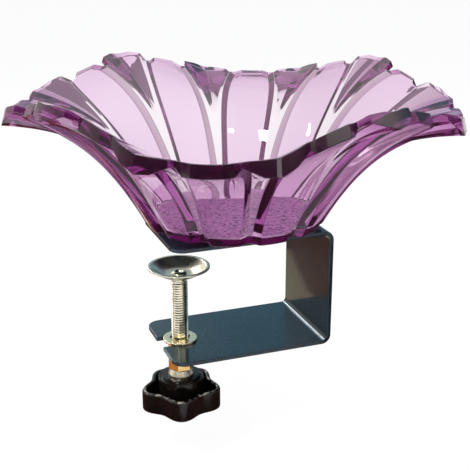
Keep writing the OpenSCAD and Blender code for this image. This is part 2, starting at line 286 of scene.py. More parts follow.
def bowlRing(v, how):  # one ring of points right round the bowl; how picks inside, outside, rim or foot
    s = bowlShape
    ring = []
    for petal in range(s["petals"]):
        middle = petal * 360 / s["petals"]
        low = s["lowReach"] * max(0, math.cos(math.radians(s["waves"] * middle)))
        stations = petalStations(np.array([v]), low)[:, :, 0]
        mirrored = stations * [-1, 1, 1, 1]
        across = np.concatenate([mirrored[::-1], stations[1:-1]])
        angle = middle + across[:, 0]
        u = v * (1 + across[:, 1] / (3 * s["endPull"]))
        (radius, z), (wayR, wayZ) = wallCurve(angle, u)
        outR, outZ = wayZ, -wayR
        thick = s["wall"] - s["wallDip"] * 4 * v * (1 - v) + across[:, 2]  # thinnest half-way up
        radius, z = how(radius, z, wayR, wayZ, outR, outZ, across[:, 3], thick)
        turn = np.radians(angle + s["turn"])
        ring.append(np.stack([radius * np.cos(turn), radius * np.sin(turn), z + s["base"]], 1))
    return np.concatenate(ring)


def insideRing(v):
    return bowlRing(v, lambda r, z, wr, wz, nr, nz, dip, thick: (r + dip * nr, z + dip * nz))


def outsideRing(v):
    return bowlRing(v, lambda r, z, wr, wz, nr, nz, dip, thick: (r + thick * nr, z + thick * nz))


def rimRing(back, depth, fromOutside):  # back from the end along the wall, depth into the wall's thickness
    def spot(r, z, wr, wz, nr, nz, dip, thick):
        through = thick - depth if fromOutside else dip + depth
        return r - back * wr + through * nr, z - back * wz + through * nz
    return bowlRing(1.0, spot)


def footRing(up, inward):  # where the outside wall meets the underside
    def spot(r, z, wr, wz, nr, nz, dip, thick):
        r, z = r + thick * nr, z + thick * nz
        corner = r - z * wr / wz
        return corner + up * wr - inward, up * wz + 0 * z
    return bowlRing(0.0, spot)


def ringAt(radius, z):  # a plain ring at the stations' own angles
    around = footRing(0, 0)
    angle = np.arctan2(around[:, 1], around[:, 0])
    level = np.full(len(angle), z + bowlShape["base"])
    return np.stack([radius * np.cos(angle), radius * np.sin(angle), level], 1)


def makeBowl():
    s = bowlShape
    fillet, rim, foot = s["floorFillet"], s["rimRound"], s["footRound"]
    floorRadius, floorThick = s["floorRadius"], s["floorThick"]
    firstV, lastV = fillet / (3 * s["startPull"]), 1 - rim / (3 * s["endPull"])
    lowerRows = np.linspace(firstV, s["apex"], s["wallRows"])
    upperRows = np.linspace(s["apex"], lastV, s["wallRows"])
    wallRows = np.unique(np.concatenate([lowerRows, upperRows]))
    rings = [ringAt(share * floorRadius, floorThick) for share in (0, 0.3, 0.6, 0.85)]
    rings += [ringAt(floorRadius - fillet - 0.5, floorThick), ringAt(floorRadius - fillet, floorThick)]
    flat, corner, start = rings[-1], ringAt(floorRadius, floorThick), insideRing(firstV)
    for share in (0.25, 0.5, 0.75):  # the fillet between floor and wall
        rings.append((1 - share) ** 2 * flat + 2 * share * (1 - share) * corner + share ** 2 * start)
    rings += [insideRing(v) for v in wallRows]
    arc = [(1 - math.cos(math.radians(a)), 1 - math.sin(math.radians(a))) for a in (30, 60, 90)]
    rings += [rimRing(rim * back, rim * depth, False) for depth, back in arc]
    rings += [rimRing(rim * back, rim * depth, True) for depth, back in arc[::-1]]
    rings += [outsideRing(v) for v in wallRows[::-1]]
    rings += [outsideRing(v) for v in (firstV / 2, 0.0)]
    rings += [footRing(foot * (1 - share) ** 2, foot * share ** 2) for share in (0, 0.33, 0.67, 1)]
    rings += [ringAt(share * floorRadius, 0) for share in (0.9, 0.6, 0.3, 0)]
    grid = np.array(rings) * mm

    bpy.ops.object.select_all(action="DESELECT")
    bpy.ops.mesh.primitive_grid_add(x_subdivisions=grid.shape[1], y_subdivisions=grid.shape[0] - 1, size=1)
    piece = bpy.context.object
    piece.name = "flowerBowl"
    flatPlaces = np.empty(len(piece.data.vertices) * 3)
    piece.data.vertices.foreach_get("co", flatPlaces)
    flatPlaces = flatPlaces.reshape(-1, 3)
    column = np.rint((flatPlaces[:, 0] + 0.5) * grid.shape[1]).astype(int) % grid.shape[1]
    row = np.rint((flatPlaces[:, 1] + 0.5) * (grid.shape[0] - 1)).astype(int)
    piece.data.vertices.foreach_set("co", grid[row, column].ravel())  # roll the flat grid up into the bowl
    piece.data.update()
    takePiece(piece)
    bpy.ops.object.mode_set(mode="EDIT")
    closeMesh(mm / 200)
    bpy.ops.object.mode_set(mode="OBJECT")
    return piece


finishPiece(makeBowl(), acrylic, "frame", "bowl", smoothAngle=180)


# bonding pad: a die-cut disc of black closed-cell rubber, matt, with a fine cell texture
rubberLook = {"deep": "#141416", "pale": "#232326", "rough": 0.85, "cell": 0.8, "pitDepth": 0.1}
padShape = {"radius": 29, "low": 2.5, "high": 6.48, "edgeRound": 0.4}  # a hair under the bowl: no face lies in another

rubber, tree = newMaterial("dieCutBlackRubber")
place = addNode(tree, "TexCoord")
cells = addNode(tree, "TexNoise", inputs={
    "Vector": place.outputs["Object"], "Scale": scaleFor(rubberLook["cell"]), "Detail": 2.0})
tone = addNode(tree, "ValToRGB", inputs={"Fac": cells.outputs["Fac"]},
               stops=[(0.35, rubberLook["deep"]), (0.65, rubberLook["pale"])])
pits = addNode(tree, "Bump", inputs={
    "Height": cells.outputs["Fac"], "Strength": 0.3, "Distance": rubberLook["pitDepth"] * mm})
body = addNode(tree, "BsdfPrincipled", inputs={
    "Base Color": tone.outputs["Color"], "Roughness": rubberLook["rough"], "Normal": pits.outputs["Normal"]})
addNode(tree, "OutputMaterial", inputs={"Surface": body.outputs["BSDF"]})

bondingPad = turnProfile("bondingPad", [
    (0, padShape["low"]), (padShape["radius"], padShape["low"]),
    (padShape["radius"], padShape["high"]), (0, padShape["high"])], closed=False)
roundEdges(bondingPad, padShape["edgeRound"])
finishPiece(bondingPad, rubber, "frame", "bonding_pad")


# slate metallic powder coat on bent steel strap: blue-grey flake under a thin clear film, faint orange peel
coatLook = {"deep": "#0B141A", "pale": "#13222B", "flake": "#6F8B99", "edgeTint": "#C3E7FA", "rough": 0.3,
            "drift": 25, "peel": 1.1, "peelDepth": 0.1, "flakeSize": 0.6, "flakeShare": 0.14,
            "grit": 0.7, "gritDepth": 0.05, "metal": 0.5, "film": 0.6, "filmRough": 0.04}
strapShape = {"edgeRound": 0.45}

coat, tree = newMaterial("slateMetallicPowderCoat")
place = addNode(tree, "TexCoord")
peel = addNode(tree, "TexNoise", inputs={
    "Vector": place.outputs["Object"], "Scale": scaleFor(coatLook["peel"]), "Detail": 2.0})
drift = addNode(tree, "TexNoise", inputs={
    "Vector": place.outputs["Object"], "Scale": scaleFor(coatLook["drift"]), "Detail": 3.0})
tone = addNode(tree, "ValToRGB", inputs={"Fac": drift.outputs["Fac"]},
               stops=[(0.35, coatLook["deep"]), (0.65, coatLook["pale"])])
flakes = addNode(tree, "TexVoronoi", inputs={
    "Vector": place.outputs["Object"], "Scale": scaleFor(coatLook["flakeSize"])})
bright = addNode(tree, "MapRange", inputs={  # one cell in four is a flake; drawn coarser than life so that it shows
    "Value": flakes.outputs["Color"], "From Min": 0.6, "From Max": 0.9, "To Min": 0.0,
    "To Max": coatLook["flakeShare"]})
speckled = addNode(tree, "Mix", {"data_type": "RGBA"}, {
    0: bright.outputs["Result"], 6: tone.outputs["Color"], 7: hexColour(coatLook["flake"])})
sheen = addNode(tree, "MapRange", inputs={
    "Value": peel.outputs["Fac"], "To Min": coatLook["rough"] - 0.06, "To Max": coatLook["rough"] + 0.08})
skin = addNode(tree, "Bump", inputs={
    "Height": peel.outputs["Fac"], "Strength": 0.1, "Distance": coatLook["peelDepth"] * mm})
grit = addNode(tree, "TexNoise", inputs={
    "Vector": place.outputs["Object"], "Scale": scaleFor(coatLook["grit"]), "Detail": 1.0})
filmSkin = addNode(tree, "Bump", inputs={
    "Height": grit.outputs["Fac"], "Strength": 0.12, "Distance": coatLook["gritDepth"] * mm})
body = addNode(tree, "BsdfPrincipled", inputs={
    "Base Color": speckled.outputs[2], "Metallic": coatLook["metal"], "Roughness": sheen.outputs["Result"],
    "Specular Tint": hexColour(coatLook["edgeTint"]), "Coat Weight": coatLook["film"],
    "Coat Roughness": coatLook["filmRough"], "Normal": skin.outputs["Normal"],
    "Coat Normal": filmSkin.outputs["Normal"]})
addNode(tree, "OutputMaterial", inputs={"Surface": body.outputs["BSDF"]})


def copyNode(node, name):  # a merged copy of a CAD node, with its flat faces joined up
    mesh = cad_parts[node].data.copy()
    piece = bpy.data.objects.new(name, mesh)
    bpy.context.scene.collection.objects.link(piece)
    takePiece(piece)
    bpy.ops.object.mode_set(mode="EDIT")
    bpy.ops.mesh.select_all(action="SELECT")
    bpy.ops.mesh.remove_doubles(threshold=mm / 200)
    bpy.ops.mesh.dissolve_limited(angle_limit=math.radians(0.5))
    bpy.ops.object.mode_set(mode="OBJECT")
    return piece


strap = copyNode("bracket", "bracketStrap")
roundEdges(strap, strapShape["edgeRound"], 3, 40)
finishPiece(strap, coat, "frame", "bracket", 35)


# turned brass bush with a hexagon barrel: warm bright metal with fine tool rings, its flange's top painted paler as a
# highlight
brassLook = {"deep": "#DFAE60", "pale": "#F4D69A", "face": "#F2EBD2", "faceShare": 0.75, "faceFrom": (-66, -64),
             "rough": 0.18, "drift": 4, "toolRing": 0.7854, "toolDepth": 0.05}
bushShape = {"edgeRound": 0.3, "edgeFall": 0.5, "reach": 0.1}
clampAxis = -34.0  # the screw's place along the strap, in mm

brass, tree = newMaterial("turnedBrass")
place = addNode(tree, "TexCoord")
centred = addNode(tree, "Mapping", inputs={
    "Vector": place.outputs["Object"], "Location": (-clampAxis * mm, 0, 0)})
drift = addNode(tree, "TexNoise", inputs={
    "Vector": place.outputs["Object"], "Scale": scaleFor(brassLook["drift"]), "Detail": 3.0})
tone = addNode(tree, "ValToRGB", inputs={"Fac": drift.outputs["Fac"]},
               stops=[(0.3, brassLook["deep"]), (0.7, brassLook["pale"])])
height = addNode(tree, "SeparateXYZ", inputs={"Vector": place.outputs["Object"]})
# painted highlight: from the flange's height up, the brass is painted pale cream, as if lit
flange = addNode(tree, "MapRange", inputs={
    "Value": height.outputs["Z"], "From Min": brassLook["faceFrom"][0] * mm,
    "From Max": brassLook["faceFrom"][1] * mm, "To Max": brassLook["faceShare"]})
paintedHighlight = addNode(tree, "Mix", {"data_type": "RGBA"}, {
    0: flange.outputs["Result"], 6: tone.outputs["Color"], 7: hexColour(brassLook["face"])})
rings = addNode(tree, "TexWave", {"wave_type": "RINGS", "rings_direction": "Z"}, {
    "Vector": centred.outputs["Vector"], "Scale": ringScaleFor(brassLook["toolRing"]), "Distortion": 0.4})
tooled = addNode(tree, "Bump", inputs={
    "Height": rings.outputs["Fac"], "Strength": 0.08, "Distance": brassLook["toolDepth"] * mm})
body = addNode(tree, "BsdfPrincipled", inputs={
    "Base Color": paintedHighlight.outputs[2], "Metallic": 1.0, "Roughness": brassLook["rough"],
    "Normal": tooled.outputs["Normal"]})
addNode(tree, "OutputMaterial", inputs={"Surface": body.outputs["BSDF"]})

bush = copyNode("thread_bush", "threadBush")
flangeTop = max(v.co.z for v in bush.data.vertices) - bushShape["reach"] * mm
flangeEdge = max(v.co.y for v in bush.data.vertices) - bushShape["reach"] * mm
for vertex in bush.data.vertices:  # the flange's top falls a little to its edge
    radius = math.hypot(vertex.co.x - clampAxis * mm, vertex.co.y)
    if vertex.co.z > flangeTop and radius > flangeEdge:
        vertex.co.z -= bushShape["edgeFall"] * mm
roundEdges(bush, bushShape["edgeRound"], 2, 35)
finishPiece(bush, brass, "frame", "thread_bush", 35)


# bright zinc plate over steel: near-white metal with a faint warm bloom and fine marks
zincLook = {"deep": "#CBC8B4", "pale": "#F4F1E0", "warm": "#EADFB8", "bloom": 8.333, "grit": 0.8, "gritDepth": 0.1,
            "ringDepth": 0.05}
sheetLook = {"rough": 0.27, "ring": 1.0472, "ringShare": 0.12, "gritShare": 0.5}
rodLook = {"rough": 0.14, "ring": 1.5708, "ringShare": 0.03, "gritShare": 0.05}


def makeZinc(name, look):
    material, tree = newMaterial(name)
    place = addNode(tree, "TexCoord")
    centred = addNode(tree, "Mapping", inputs={
        "Vector": place.outputs["Object"], "Location": (-clampAxis * mm, 0, 0)})
    bloom = addNode(tree, "TexNoise", inputs={
        "Vector": place.outputs["Object"], "Scale": scaleFor(zincLook["bloom"]), "Detail": 4.0})
    tone = addNode(tree, "ValToRGB", inputs={"Fac": bloom.outputs["Fac"]},
                   stops=[(0.3, zincLook["deep"]), (0.55, zincLook["pale"]), (0.75, zincLook["warm"])])
    sheen = addNode(tree, "MapRange", inputs={
        "Value": bloom.outputs["Fac"], "To Min": look["rough"] - 0.06, "To Max": look["rough"] + 0.1})
    rings = addNode(tree, "TexWave", {"wave_type": "RINGS", "rings_direction": "Z"}, {
        "Vector": centred.outputs["Vector"], "Scale": ringScaleFor(look["ring"]), "Distortion": 1.0, "Detail": 2.0})
    marks = addNode(tree, "Bump", inputs={
        "Height": rings.outputs["Fac"], "Strength": look["ringShare"], "Distance": zincLook["ringDepth"] * mm})
    grit = addNode(tree, "TexNoise", inputs={
        "Vector": place.outputs["Object"], "Scale": scaleFor(zincLook["grit"]), "Detail": 2.0})
    rubbed = addNode(tree, "Bump", inputs={
        "Height": grit.outputs["Fac"], "Strength": look["gritShare"], "Distance": zincLook["gritDepth"] * mm,
        "Normal": marks.outputs["Normal"]})
    body = addNode(tree, "BsdfPrincipled", inputs={
        "Base Color": tone.outputs["Color"], "Metallic": 1.0, "Roughness": sheen.outputs["Result"],
        "Normal": rubbed.outputs["Normal"]})
    addNode(tree, "OutputMaterial", inputs={"Surface": body.outputs["BSDF"]})
    return material


zincSheet = makeZinc("pressedZincSheet", sheetLook)
zincRod = makeZinc("rolledZincThread", rodLook)


# clamp screw: rolled 10 mm thread, turned neck, and a hollow end staked over the pad
screwShape = {"low": -104.3, "top": -27.5, "radius": 5.0, "root": 4.08, "pitch": 1.5, "chamfer": 1.0, "spareTurns": 2,
              "neck": 3.5, "neckTop": -24.9, "neckSunk": 1, "spigot": 2.8, "headBase": -23.3, "head": 4.5,
              "headTop": -21.9, "headDome": [(0.2, 0.7), (1.2, 1.4)], "edgeRound": 0.2,
              "hollow": [(2.1, 0.1), (1.6, 1.2), (0, 1.3)]}


def makeScrew():
    s = screwShape
    piece = startOutline("clampScrew")
    rootFlat, crest = s["pitch"] / 4, s["pitch"] / 8
    depth, flank = s["radius"] - s["root"], (s["pitch"] - rootFlat - crest) / 2
    bpy.ops.transform.translate(value=(s["root"] * mm, 0, (s["low"] - s["spareTurns"] * s["pitch"]) * mm))
    for out, up in ((0, rootFlat), (depth, flank), (0, crest), (-depth, flank)):  # one turn of the thread's outline
        bpy.ops.mesh.extrude_vertices_move(TRANSFORM_OT_translate={"value": (out * mm, 0, up * mm)})
    bpy.ops.object.mode_set(mode="OBJECT")
    turns = math.ceil((s["top"] - s["low"]) / s["pitch"]) + 2 * s["spareTurns"]
    applyModifier(piece, "SCREW", {
        "screw_offset": s["pitch"] * mm, "iterations": turns, "steps": 40, "render_steps": 40,
        "use_merge_vertices": True, "merge_threshold": mm / 500, "use_smooth_shade": True})
    takePiece(piece)
    bpy.ops.object.mode_set(mode="EDIT")
    for height, way in ((s["low"], -1), (s["top"], 1)):  # cut the spare turns off square
        bpy.ops.mesh.select_all(action="SELECT")
        bpy.ops.mesh.bisect(plane_co=(0, 0, height * mm), plane_no=(0, 0, way), use_fill=True, clear_outer=True)
    closeMesh(mm / 1000)
    bpy.ops.object.mode_set(mode="OBJECT")
    for vertex in piece.data.vertices:  # chamfer both ends below the thread's root
        radius = math.hypot(vertex.co.x, vertex.co.y) / mm
        room = min(vertex.co.z / mm - s["low"], s["top"] - vertex.co.z / mm)
        limit = s["radius"] - s["chamfer"] + max(0, room)
        if radius > limit:
            vertex.co.x *= limit / radius
            vertex.co.y *= limit / radius
    neckLow = s["top"] - s["neckSunk"]
    outline = [(0, neckLow), (s["neck"], neckLow), (s["neck"], s["neckTop"]), (s["spigot"], s["neckTop"]),
               (s["spigot"], s["headBase"]), (s["head"], s["headBase"])]
    outline += [(s["head"] - inward, s["headBase"] + up) for inward, up in s["headDome"]]
    outline += [(out, s["headTop"] - down) for out, down in s["hollow"]]
    neck = turnProfile("screwNeck", outline, steps=64, closed=False)
    roundEdges(neck, s["edgeRound"], 2, 30)
    joinPieces(piece, neck)
    placeMesh(piece, (clampAxis, 0, 0))
    return piece


finishPiece(makeScrew(), zincRod, "screw", "clamp_screw", 35)


# pressure pad: a dished steel pressing, held loosely on the screw's end
dishShape = {"hole": 2.88, "flat": 6.8, "radius": 18, "lip": 1.6, "top": -18.5, "floor": -23.5, "sheet": 1.2,
             "floorPull": 4.2, "lipPull": (2.4, 1.1), "lipThin": 0.1, "steps": 12, "edgeRound": 0.35}


def makeDish():
    s = dishShape
    def sweep(drop):  # the dish's curve from flat floor to lip
        a, b = (s["flat"], s["floor"] - drop), (s["radius"] - s["lip"], s["top"] - drop)
        knots = [a, (a[0] + s["floorPull"], a[1]), (b[0] - s["lipPull"][0], b[1] - s["lipPull"][1]), b]
        rows = []
        for i in range(s["steps"] + 1):
            u = i / s["steps"]
            rows.append(tuple((1 - u) ** 3 * knots[0][k] + 3 * u * (1 - u) ** 2 * knots[1][k]
                              + 3 * u * u * (1 - u) * knots[2][k] + u ** 3 * knots[3][k] for k in (0, 1)))
        return rows
    lipLow = s["top"] - s["sheet"] + s["lipThin"]
    lower = [(s["hole"], s["floor"] - s["sheet"])] + sweep(s["sheet"]) + [(s["radius"], lipLow)]
    upper = [(s["radius"], s["top"])] + sweep(0)[::-1] + [(s["hole"], s["floor"])]
    piece = turnProfile("pressurePad", lower + upper, steps=128)
    roundEdges(piece, s["edgeRound"], 3, 40)
    placeMesh(piece, (clampAxis, 0, 0))
    return piece


finishPiece(makeDish(), zincSheet, "pad", "pressure_pad", 40)


# knob: moulded black-brown phenolic, glossy, with soft flow marks, and pale glints painted along its top edge as
# highlights
knobLook = {"deep": "#080605", "pale": "#140E0A", "flow": 11.11, "flowDepth": 0.3, "rough": 0.12, "ior": 1.58,
            "gloss": 0.3, "paintedGlint": "#B4ACA0", "paintedGlintSize": 3.0, "paintedGlintShare": 0.6, "paintedGlintDown": (0.9, 0.1),
            "paintedGlintFrom": (15.5, 16)}
knobShape = {"base": -107.3, "top": -94.3, "across": 48, "lobes": 5, "hollow": 4.8, "turn": 37.5, "wall": 2.6,
             "floor": 3, "rimRound": 1.25, "hub": 13.5, "hubTop": -87.3, "hubSunk": 1, "step": 2, "stepDrop": 1.2,
             "groove": [(1.0, 0), (1.2, 0.5), (1.7, 0.5), (1.9, 0)], "bore": 5.02, "hubRound": 0.45}

plastic, tree = newMaterial("mouldedBlackPhenolic")
place = addNode(tree, "TexCoord")
flow = addNode(tree, "TexNoise", inputs={
    "Vector": place.outputs["Object"], "Scale": scaleFor(knobLook["flow"]), "Detail": 4.0, "Distortion": 0.6})
tone = addNode(tree, "ValToRGB", inputs={"Fac": flow.outputs["Fac"]},
               stops=[(0.35, knobLook["deep"]), (0.7, knobLook["pale"])])
height = addNode(tree, "SeparateXYZ", inputs={"Vector": place.outputs["Object"]})
# painted highlight: broken pale patches along the top rim edge, off the hub, stand in for glints of light
rim = addNode(tree, "MapRange", inputs={
    "Value": height.outputs["Z"], "From Min": (knobShape["top"] - knobLook["paintedGlintDown"][0]) * mm,
    "From Max": (knobShape["top"] - knobLook["paintedGlintDown"][1]) * mm})
apart = addNode(tree, "VectorMath", {"operation": "DISTANCE"}, {
    0: place.outputs["Object"], 1: (clampAxis * mm, 0, knobShape["top"] * mm)})
offHub = addNode(tree, "MapRange", inputs={
    "Value": apart.outputs["Value"], "From Min": knobLook["paintedGlintFrom"][0] * mm,
    "From Max": knobLook["paintedGlintFrom"][1] * mm})
patches = addNode(tree, "TexNoise", inputs={
    "Vector": place.outputs["Object"], "Scale": scaleFor(knobLook["paintedGlintSize"]), "Detail": 3.0})
broken = addNode(tree, "MapRange", inputs={
    "Value": patches.outputs["Fac"], "From Min": 0.5, "From Max": 0.62, "To Max": knobLook["paintedGlintShare"]})
onRim = addNode(tree, "Math", {"operation": "MULTIPLY"}, {0: rim.outputs["Result"], 1: offHub.outputs["Result"]})
paintedGlints = addNode(tree, "Math", {"operation": "MULTIPLY"}, {0: onRim.outputs["Value"], 1: broken.outputs["Result"]})
paintedHighlight = addNode(tree, "Mix", {"data_type": "RGBA"}, {
    0: paintedGlints.outputs["Value"], 6: tone.outputs["Color"], 7: hexColour(knobLook["paintedGlint"])})
sheen = addNode(tree, "MapRange", inputs={
    "Value": flow.outputs["Fac"], "To Min": knobLook["rough"] - 0.07, "To Max": knobLook["rough"] + 0.1})
ripple = addNode(tree, "Bump", inputs={
    "Height": flow.outputs["Fac"], "Strength": 0.15, "Distance": knobLook["flowDepth"] * mm})
body = addNode(tree, "BsdfPrincipled", inputs={
    "Base Color": paintedHighlight.outputs[2], "Roughness": sheen.outputs["Result"], "IOR": knobLook["ior"],
    "Specular IOR Level": knobLook["gloss"], "Normal": ripple.outputs["Normal"]})
addNode(tree, "OutputMaterial", inputs={"Surface": body.outputs["BSDF"]})


def makeKnob():
    s = knobShape
    bpy.ops.object.select_all(action="DESELECT")
    bpy.ops.mesh.primitive_circle_add(vertices=180, radius=mm, fill_type="NGON")
    piece = bpy.context.object
    piece.name = "clampKnob"
    for vertex in piece.data.vertices:  # draw the circle out into lobes
        angle = math.atan2(vertex.co.y, vertex.co.x)
        radius = (s["across"] - s["hollow"] + s["hollow"] * math.cos(s["lobes"] * angle)) / 2 * mm
        turn = angle + math.radians(s["turn"])
        vertex.co = (radius * math.cos(turn), radius * math.sin(turn), s["base"] * mm)
    bpy.ops.object.mode_set(mode="EDIT")
    bpy.ops.mesh.select_mode(type="FACE")
    bpy.ops.mesh.select_all(action="SELECT")
    bpy.ops.mesh.extrude_region_move(TRANSFORM_OT_translate={"value": (0, 0, (s["top"] - s["base"]) * mm)})
    bpy.ops.mesh.inset(thickness=s["wall"] * mm)
    inside = (s["base"] + s["floor"] - s["top"]) * mm
    bpy.ops.mesh.extrude_region_move(TRANSFORM_OT_translate={"value": (0, 0, inside)})
    bpy.ops.mesh.select_mode(type="VERT")
    bpy.ops.mesh.select_all(action="SELECT")
    bpy.ops.mesh.normals_make_consistent(inside=False)
    bpy.ops.object.mode_set(mode="OBJECT")
    roundEdges(piece, s["rimRound"], 5, 40)
    hub, hubLow, ledge = s["hub"], s["base"] + s["floor"] - s["hubSunk"], s["hubTop"] - s["stepDrop"]
    outline = [(s["bore"], hubLow), (hub, hubLow), (hub, ledge)]
    outline += [(hub - inward, ledge - down) for inward, down in s["groove"]]
    outline += [(hub - s["step"], ledge), (hub - s["step"], s["hubTop"]), (s["bore"], s["hubTop"])]
    boss = turnProfile("knobHub", outline)
    roundEdges(boss, s["hubRound"], 3, 30)
    joinPieces(piece, boss)
    placeMesh(piece, (clampAxis, 0, 0))
    return piece


finishPiece(makeKnob(), plastic, "screw", "knob", 35)


# metal collar between knob and bush
collarShape = {"low": -87.3, "top": -83.3, "foot": 7.5, "footTop": -86.3, "nose": 6.2, "bore": 5.02, "edgeRound": 0.3}

collar = turnProfile("knobCollar", [
    (collarShape["bore"], collarShape["low"]), (collarShape["foot"], collarShape["low"]),
    (collarShape["foot"], collarShape["footTop"]), (collarShape["nose"], collarShape["top"]),
    (collarShape["bore"], collarShape["top"])])
roundEdges(collar, collarShape["edgeRound"], 2, 20)
placeMesh(collar, (clampAxis, 0, 0))
finishPiece(collar, zincSheet, "screw", "knob_collar", 35)


# pale matt floor: nearly white to the eye, in reflections and through clear parts, with the object's soft shadow
stageLook = {"floorZ": -0.15, "floorSize": 8.0, "floorTone": "#F2F2F2", "shown": 0.9}

bpy.ops.object.select_all(action="DESELECT")
bpy.ops.mesh.primitive_plane_add(size=stageLook["floorSize"], location=(0, 0, stageLook["floorZ"]))
floor = bpy.context.object
floor.name = "paleFloor"
floorPaint, tree = newMaterial("mattWhiteFloor")
path = addNode(tree, "LightPath")
direct = addNode(tree, "Math", {"operation": "MAXIMUM"}, {
    0: path.outputs["Is Camera Ray"], 1: path.outputs["Is Transmission Ray"]})
seen = addNode(tree, "Math", {"operation": "MAXIMUM"}, {
    0: direct.outputs["Value"], 1: path.outputs["Is Glossy Ray"]})
share = addNode(tree, "Math", {"operation": "MULTIPLY"}, {0: seen.outputs["Value"], 1: stageLook["shown"]})
matt = addNode(tree, "BsdfDiffuse", inputs={"Color": hexColour(stageLook["floorTone"])})
white = addNode(tree, "Emission", inputs={"Color": hexColour("#FFFFFF"), "Strength": 1.0})
mixed = addNode(tree, "MixShader", inputs={
    0: share.outputs["Value"], 1: matt.outputs["BSDF"], 2: white.outputs["Emission"]})
addNode(tree, "OutputMaterial", inputs={"Surface": mixed.outputs["Shader"]})
floor.data.materials.append(floorPaint)

# studio cards on the floor that the eye doesn't see: the first seven show only in reflections, and the flags only
# through clear parts, where the panels' bevels bend them into view. Corners in metres, height over the floor in mm
cards = [
    {"name": "sandCard", "tone": "#F4DAB8", "over": 1,
     "corners": [(-0.3, 0.17), (0.1, 0.17), (0.1, 0.33), (-0.3, 0.33)]},
    {"name": "plumCard", "tone": "#3E2234", "over": 1,
     "corners": [(-0.3, 0.33), (0.12, 0.33), (0.12, 0.7), (-0.3, 0.7)]},
    {"name": "brownCardNear", "tone": "#8E4A32", "over": 2,
     "corners": [(-0.6, 0.17), (-0.06, 0.17), (-0.06, 0.225), (-0.6, 0.225)]},
    {"name": "brownCardFar", "tone": "#8E4A32", "over": 2,
     "corners": [(-0.6, 0.225), (-0.06, 0.225), (-0.161, 0.6), (-0.6, 0.6)]},
    {"name": "underCard", "tone": "#5A363C", "over": 1,
     "corners": [(-0.195, -0.1), (0.12, -0.1), (0.12, 0.12), (-0.195, 0.12)]},
    {"name": "amberCard", "tone": "#C08A48", "over": 2,
     "corners": [(-0.2, 0.012), (-0.148, 0.012), (-0.148, 0.07), (-0.2, 0.07)]},
    {"name": "darkCard", "tone": "#4A3428", "over": 1,
     "corners": [(0.12, -0.4), (0.8, -0.4), (0.8, 0.6), (0.12, 0.6)]},
    {"name": "leftPaleFlag", "tone": "#CDBDC8", "over": 3, "through": True,
     "corners": [(-3.5, 0.2), (-0.032, 0.2), (-0.554, 3.5), (-3.5, 3.5)]},
    {"name": "leftPlumFlag", "tone": "#6A4866", "over": 3, "through": True,
     "corners": [(-0.032, 0.2), (0.014, 0.2), (0.245, 3.5), (-0.554, 3.5)]},
    {"name": "rightPlumFlag", "tone": "#6A4866", "over": 3, "through": True,
     "corners": [(0.08, 0.1), (0.1, 0.1), (3.44, 3.5), (2.73, 3.5)]},
    {"name": "rightPaleFlag", "tone": "#CDBDC8", "over": 3, "through": True,
     "corners": [(0.1, 0.1), (3.9, 0.1), (3.9, 3.5), (3.44, 3.5)]}]

for card in cards:
    bpy.ops.object.select_all(action="DESELECT")
    bpy.ops.mesh.primitive_plane_add(size=1, location=(0, 0, stageLook["floorZ"] + card["over"] * mm))
    sheet = bpy.context.object
    sheet.name = card["name"]
    for vertex, (x, y) in zip(sheet.data.vertices, [card["corners"][i] for i in (0, 1, 3, 2)]):
        vertex.co = (x, y, 0)
    paint, tree = newMaterial(card["name"] + "Paint")
    tone = addNode(tree, "Emission", inputs={"Color": hexColour(card["tone"]), "Strength": 1.0})
    addNode(tree, "OutputMaterial", inputs={"Surface": tone.outputs["Emission"]})
    sheet.data.materials.append(paint)
    sheet.visible_camera = sheet.visible_diffuse = sheet.visible_shadow = False
    sheet.visible_transmission = card.get("through", False)
    sheet.visible_glossy = not sheet.visible_transmission

# soft studio light: white to the eye; clear parts see white straight ahead and mauve aside; reflections see a dark
# room on the camera's side, and a far side that is pale on the left and blue-grey on the right
skyLook = {"farLeft": [(0.0, "#8C8680"), (0.48, "#C8BBA4"), (0.54, "#F2EEE6"), (1.0, "#FFFFFF")],
           "farRight": [(0.0, "#8C8680"), (0.5, "#3A3F42"), (0.6, "#6F98A8"), (0.72, "#7FB0C6"), (0.84, "#E4E8EA"),
                        (1.0, "#FFFFFF")],
           "near": [(0.0, "#8C8680"), (0.4, "#2E2622"), (0.62, "#2E2622"), (0.78, "#E6E6E0"), (1.0, "#FFFFFF")],
           "leftToRight": (0.12, 0.32), "nearToFar": (-0.3, 0.3), "overhead": (0.55, 0.9), "overheadGain": 2.4,
           "glowWay": (0.68, -0.35, 0.64), "glow": (0.6, 1.0), "glowGain": 1.6, "fill": "#DCDFE2",
           "aheadWay": (0.35, 0.937, 0.0), "ahead": (0.78, 0.92), "aside": "#A890A2"}

world = bpy.data.worlds.new("studio")
bpy.context.scene.world = world
world.use_nodes = True
tree = world.node_tree
tree.nodes.clear()
way = addNode(tree, "TexCoord")
split = addNode(tree, "SeparateXYZ", inputs={"Vector": way.outputs["Generated"]})
upward = addNode(tree, "MapRange", inputs={"Value": split.outputs["Z"], "From Min": -1.0, "From Max": 1.0})
near, farLeft, farRight = [addNode(tree, "ValToRGB", inputs={"Fac": upward.outputs["Result"]}, stops=skyLook[side])
                           for side in ("near", "farLeft", "farRight")]
sideways = addNode(tree, "MapRange", {"interpolation_type": "SMOOTHSTEP"}, {
    "Value": split.outputs["X"], "From Min": skyLook["leftToRight"][0], "From Max": skyLook["leftToRight"][1]})
far = addNode(tree, "Mix", {"data_type": "RGBA"}, {
    0: sideways.outputs["Result"], 6: farLeft.outputs["Color"], 7: farRight.outputs["Color"]})
depth = addNode(tree, "MapRange", inputs={
    "Value": split.outputs["Y"], "From Min": skyLook["nearToFar"][0], "From Max": skyLook["nearToFar"][1]})
sky = addNode(tree, "Mix", {"data_type": "RGBA"}, {
    0: depth.outputs["Result"], 6: near.outputs["Color"], 7: far.outputs[2]})
